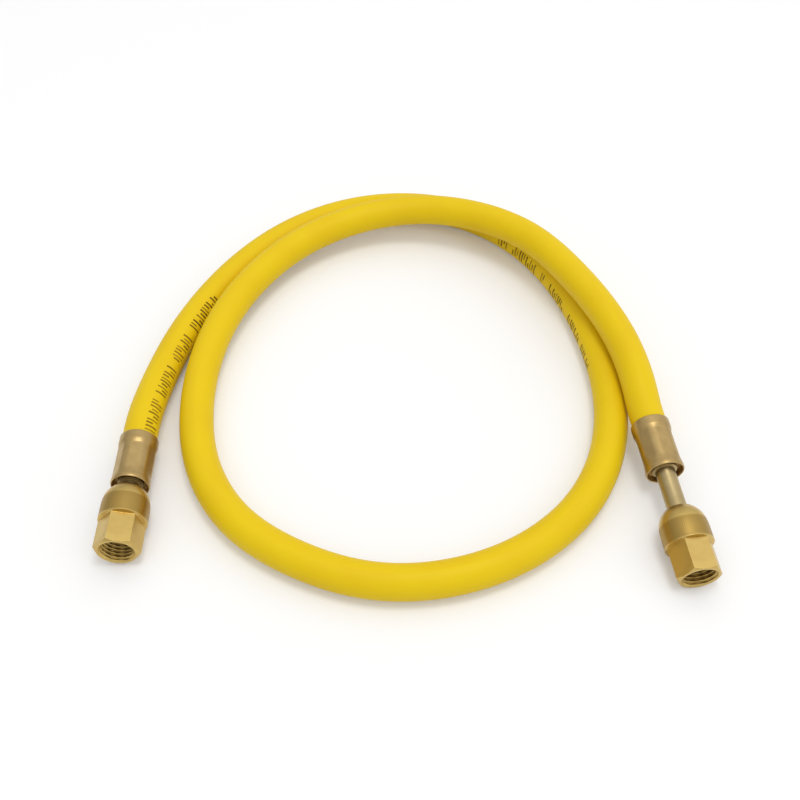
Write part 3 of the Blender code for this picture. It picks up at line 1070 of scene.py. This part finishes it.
def outer_profile(knurl_step):
    """Radii and heights of the nut's outside, from its back to its front face."""
    heights = [
        *np.linspace(0, KNURL_START, 14, endpoint=False),
        *np.arange(KNURL_START, KNURL_END - 0.2 * MM, knurl_step),
        *np.linspace(KNURL_END - 0.1 * MM, KNURL_END + 0.2 * MM, 6),
        *np.linspace(KNURL_END + 1 * MM, NUT_LENGTH - FRONT_CHAMFER, 8),
    ]
    profile = []
    for height in heights:
        left = max(1 - height / NUT_SHOULDER, 0) ** SHOULDER_FULLNESS
        profile.append((NUT_RADIUS - (NUT_RADIUS - NUT_BACK_RADIUS) * left, height))
    for t in np.linspace(0.1, 1, 9):
        radius = NUT_RADIUS + (FACE_RADIUS - NUT_RADIUS) * t
        profile.append((radius, NUT_LENGTH - FRONT_CHAMFER * (1 - t)))
    profile.append((FACE_RADIUS - 0.1 * MM, NUT_LENGTH))
    return profile


def thread_radii(angles, height, settings):
    """Radius of the bore: a right-handed thread that runs out before the gasket's seat, and a
    countersink at the mouth."""
    phase = height / settings.thread_pitch - angles / (2 * math.pi)
    from_root = np.abs(phase - np.round(phase)) * 2
    tooth = np.clip((1 - from_root) * THREAD_FLANK - THREAD_ROOT_FLAT, 0, 1)
    seat = GASKET_START + GASKET_THICKNESS
    tooth = tooth * ramp(height, seat + 0.2 * MM, seat + 1.6 * MM)
    threaded = THREAD_MINOR_RADIUS + (THREAD_MAJOR_RADIUS - THREAD_MINOR_RADIUS) * tooth
    return np.maximum(threaded, MOUTH_HOLE_RADIUS - (NUT_LENGTH - height))


def nut_rings(settings):
    """Rings down the outside of the nut, from its back to its face, and back through its
    thread and over the stem's head."""
    angles = all_round(settings.knurl_count * KNURL_STEPS)
    knurl_pitch = 2 * math.pi * NUT_RADIUS / settings.knurl_count / math.tan(KNURL_LEAN)
    rings = []
    for radius, height in outer_profile(knurl_pitch / KNURL_STEPS):
        radii = outer_radii(angles, height, radius, settings, knurl_pitch)
        rings.append(circle(angles, radii, height))
    seat = GASKET_START + GASKET_THICKNESS
    rows = math.ceil((NUT_LENGTH - seat) / settings.thread_pitch * THREAD_ROWS_PER_TURN)
    for height in np.linspace(NUT_LENGTH, seat, rows):
        rings.append(circle(angles, thread_radii(angles, height, settings), height))
    for radius, height in [
        (THREAD_MINOR_RADIUS, NUT_BACK_WALL),
        (NUT_HOLE_RADIUS, NUT_BACK_WALL),
        (NUT_HOLE_RADIUS, NUT_HOLE_CHAMFER),
        (NUT_HOLE_RADIUS + NUT_HOLE_CHAMFER, 0),
    ]:
        rings.append(circle(angles, radius, height))
    return rings


def mark_painted_shade(mesh):
    """Keeps on the nut's mesh where painted shade darkens it, in place of the shade in its
    grooves: in the knurl and in the thread.
    """
    amounts = []
    for vertex in mesh.vertices:
        height = vertex.co.z
        if math.hypot(vertex.co.x, vertex.co.y) > THREAD_MAJOR_RADIUS + 0.1 * MM:
            # Painted shade in the knurl's grooves, kept off the smooth shoulder and the flats
            groove_shade = ramp(height, KNURL_START - 0.1 * MM, KNURL_START + 0.6 * MM)
            groove_shade *= 1 - ramp(height, KNURL_END - 0.7 * MM, KNURL_END - 0.2 * MM)
            groove_shade *= KNURL_PAINTED_SHADE
        else:
            # Painted shade down the threaded bore, fading out towards the mouth
            from_mouth = ramp(height, NUT_LENGTH - 1.6 * MM, NUT_LENGTH - 0.4 * MM)
            groove_shade = THREAD_PAINTED_SHADE * (1 - from_mouth)
        amounts.append(float(groove_shade))
    layer = mesh.attributes.new("painted_groove_shade", "FLOAT", "POINT")
    layer.data.foreach_set("value", amounts)


class CutNuts(bpy.types.Operator):
    """Turn, knurl, mill and thread the swivel nut of each end"""

    bl_idname = "charging_hose.cut_nuts"
    bl_label = "Cut Nuts"

    def execute(self, context):
        settings = context.scene.brass_settings
        metal = brass(
            "bright_turned_brass",
            settings.turned,
            roughness=0.34,
            line_spacing=0.2 * MM,
            line_depth=0.006 * MM,
            tarnish=0.3,
        )
        for side, (_, shank, _, nut_turn) in ENDS.items():
            obj = skinned(side + "_swivel_nut", nut_rings(settings), sharp_degrees=30)
            # Painted shade in the knurl and the thread, kept on the mesh for the finish
            mark_painted_shade(obj.data)
            place = place_of(side) @ Matrix.Translation((0, 0, FERRULE_LENGTH + shank))
            place = place @ Matrix.Rotation(nut_turn, 4, "Z")
            body = side + "_nut_body"
            finished(obj, place, metal, body, side + "_nut")
        return {"FINISHED"}


# Seals


def gasket_profile():
    """A thick washer whose front edges are cut back."""
    return [
        (HEAD_RADIUS, 0),
        (HEAD_RADIUS, GASKET_THICKNESS - GASKET_EDGE),
        (HEAD_RADIUS - GASKET_EDGE, GASKET_THICKNESS),
        (SOCKET_RADIUS + GASKET_EDGE, GASKET_THICKNESS),
        (SOCKET_RADIUS, GASKET_THICKNESS - GASKET_EDGE),
        (SOCKET_RADIUS, 0),
    ]


def depressor_rings():
    """The depressor's pin and its foot with three flow slots, round a centre so fine that the
    ring looks solid."""
    angles = all_round(DEPRESSOR_SIDES)
    tip = DEPRESSOR_PIN_RADIUS * 0.4
    profile = [
        (DEPRESSOR_CENTRE, DEPRESSOR_LENGTH),
        (DEPRESSOR_PIN_RADIUS - tip, DEPRESSOR_LENGTH),
        (DEPRESSOR_PIN_RADIUS, DEPRESSOR_LENGTH - tip),
        (DEPRESSOR_PIN_RADIUS, DEPRESSOR_FOOT),
        (DEPRESSOR_FOOT_RADIUS, DEPRESSOR_FOOT),
        (DEPRESSOR_FOOT_RADIUS, 0),
        (DEPRESSOR_CENTRE, 0),
    ]
    spacing = 2 * math.pi / FLOW_SLOT_COUNT
    from_slot = np.abs((angles - FLOW_SLOT_TURN + spacing / 2) % spacing - spacing / 2)
    in_slot = from_slot < FLOW_SLOT_HALF_ANGLE
    reach = np.where(in_slot, FLOW_SLOT_INNER_RADIUS, DEPRESSOR_FOOT_RADIUS)
    rings = []
    for radius, height in rounded(profile, DEPRESSOR_EDGE_EASE):
        rings.append(circle(angles, np.minimum(radius, reach), height))
    return rings


class FitSeals(bpy.types.Operator):
    """Fit the gasket of each nut and the core depressor of the right one"""

    bl_idname = "charging_hose.fit_seals"
    bl_label = "Fit Seals"

    def execute(self, context):
        rubber = seal_rubber()
        for side, (_, shank, _, _) in ENDS.items():
            nut_back = FERRULE_LENGTH + shank
            obj = turned(side + "_flare_gasket", gasket_profile())
            place = place_of(side) @ Matrix.Translation((0, 0, nut_back + GASKET_START))
            finished(obj, place, rubber, "hose_body", side + "_gasket")
        settings = context.scene.brass_settings
        metal = brass(
            "depressor_brass",
            settings.turned,
            roughness=0.28,
            line_spacing=0.2 * MM,
            line_depth=0.005 * MM,
            tarnish=0.3,
        )
        obj = skinned("right_core_depressor", depressor_rings())
        nut_back = FERRULE_LENGTH + ENDS["right"][1]
        place = place_of("right") @ Matrix.Translation((0, 0, nut_back + DEPRESSOR_START))
        finished(obj, place, metal, "hose_body", "right_depressor")
        return {"FINISHED"}


# Studio


def studio_floor(settings):
    """Seamless white paper. It takes the soft shadow, and a little light of its own, seen by
    the camera and in reflections, brings it to white."""
    material, tree, shader = new_material("seamless_paper")
    shader.inputs["Base Color"].default_value = (*settings.floor, 1)
    shader.inputs["Roughness"].default_value = 0.9
    shader.inputs["Specular IOR Level"].default_value = 0.0
    path = add_node(tree, "ShaderNodeLightPath").outputs
    seen = add_node(
        tree,
        "ShaderNodeMath",
        {"operation": "MAXIMUM"},
        {0: path["Is Camera Ray"], 1: path["Is Glossy Ray"]},
    )
    seen = add_node(
        tree,
        "ShaderNodeMath",
        {"operation": "MAXIMUM"},
        {0: seen.outputs["Value"], 1: path["Is Transmission Ray"]},
    )
    glow = add_node(
        tree,
        "ShaderNodeMath",
        {"operation": "MULTIPLY"},
        {0: seen.outputs["Value"]},
        {1: settings.glow},
    )
    shader.inputs["Emission Color"].default_value = (1, 1, 1, 1)
    tree.links.new(glow.outputs["Value"], shader.inputs["Emission Strength"])
    return material


def studio_surround(settings):
    """White cloth all round, brightest overhead and dimmest at the horizon on the left."""
    world = bpy.data.worlds.new("studio_surround")
    world.use_nodes = True
    tree = world.node_tree
    surround = tree.nodes["Background"]
    surround.inputs["Color"].default_value = (1, 1, 1, 1)
    direction = add_node(tree, "ShaderNodeTexCoord").outputs["Generated"]
    nearness = add_node(
        tree,
        "ShaderNodeVectorMath",
        {"operation": "DOT_PRODUCT"},
        {0: direction},
        {1: BRIGHT_DIRECTION},
    )
    strength = add_node(
        tree,
        "ShaderNodeMapRange",
        links={"Value": nearness.outputs["Value"]},
        inputs={
            "From Min": -BRIGHT_DIRECTION[0],
            "To Min": settings.surround_dim,
            "To Max": settings.surround_bright,
        },
    )
    tree.links.new(strength.outputs["Result"], surround.inputs["Strength"])
    return world


class SetStage(bpy.types.Operator):
    """Lay the floor, hang the lamp and set up the camera"""

    bl_idname = "charging_hose.set_stage"
    bl_label = "Set Stage"

    def execute(self, context):
        settings = context.scene.studio_settings
        self.lay_floor(settings)
        self.hang_lamp(context, settings.key_power)
        context.scene.world = studio_surround(settings)
        self.set_camera(context)
        context.scene.view_settings.view_transform = "Standard"
        return {"FINISHED"}

    def lay_floor(self, settings):
        shape = bmesh.new()
        size = settings.floor_size / 2
        bmesh.ops.create_grid(shape, x_segments=1, y_segments=1, size=size)
        floor = as_object("floor", shape)
        floor.location = (0, 0, cad_box[0].z)
        floor.data.materials.append(studio_floor(settings))

    def hang_lamp(self, context, power):
        data = bpy.data.lights.new("key_lamp", "AREA")
        data.size = LAMP_SIZE
        data.energy = power
        lamp = bpy.data.objects.new("key_lamp", data)
        context.scene.collection.objects.link(lamp)
        lamp.location = LAMP_PLACE
        lamp.rotation_euler = (LAMP_TARGET - LAMP_PLACE).to_track_quat("-Z", "Y").to_euler()

    def set_camera(self, context):
        back = Vector((0, -math.cos(CAMERA_ELEVATION), math.sin(CAMERA_ELEVATION)))
        data = bpy.data.cameras.new("camera")
        data.lens = LENS_MM
        data.sensor_width = SENSOR_MM
        data.clip_start = 0.01
        camera = bpy.data.objects.new("camera", data)
        context.scene.collection.objects.link(camera)
        camera.location = CAMERA_TARGET + back * CAMERA_DISTANCE
        camera.rotation_euler = (-back).to_track_quat("-Z", "Y").to_euler()
        context.scene.camera = camera


# Sidebar and registration


OPERATORS = [LayHose, PressFerrules, TurnStems, CutNuts, FitSeals, SetStage]


class HosePanel(bpy.types.Panel):
    """Settings and steps for dressing the hose"""

    bl_idname = "VIEW3D_PT_charging_hose"
    bl_label = "Charging Hose"
    bl_space_type = "VIEW_3D"
    bl_region_type = "UI"
    bl_category = "Charging Hose"

    def draw(self, context):
        for settings in SETTINGS:
            group = getattr(context.scene, settings)
            for name in SETTINGS[settings].__annotations__:
                self.layout.prop(group, name)
        for operator in OPERATORS:
            self.layout.operator(operator.bl_idname)


SETTINGS = {
    "hose_settings": HoseSettings,
    "brass_settings": BrassSettings,
    "studio_settings": StudioSettings,
}


def register():
    for group in SETTINGS.values():
        bpy.utils.register_class(group)
    for operator in OPERATORS:
        bpy.utils.register_class(operator)
    bpy.utils.register_class(HosePanel)
    for name, group in SETTINGS.items():
        setattr(bpy.types.Scene, name, PointerProperty(type=group))


def unregister():
    for name in SETTINGS:
        delattr(bpy.types.Scene, name)
    bpy.utils.unregister_class(HosePanel)
    for operator in reversed(OPERATORS):
        bpy.utils.unregister_class(operator)
    for group in reversed(SETTINGS.values()):
        bpy.utils.unregister_class(group)


def main():
    register()
    bpy.ops.charging_hose.set_stage()
    bpy.ops.charging_hose.lay_hose()
    bpy.ops.charging_hose.press_ferrules()
    bpy.ops.charging_hose.turn_stems()
    bpy.ops.charging_hose.cut_nuts()
    bpy.ops.charging_hose.fit_seals()


if __name__ == "__main__":
    main()
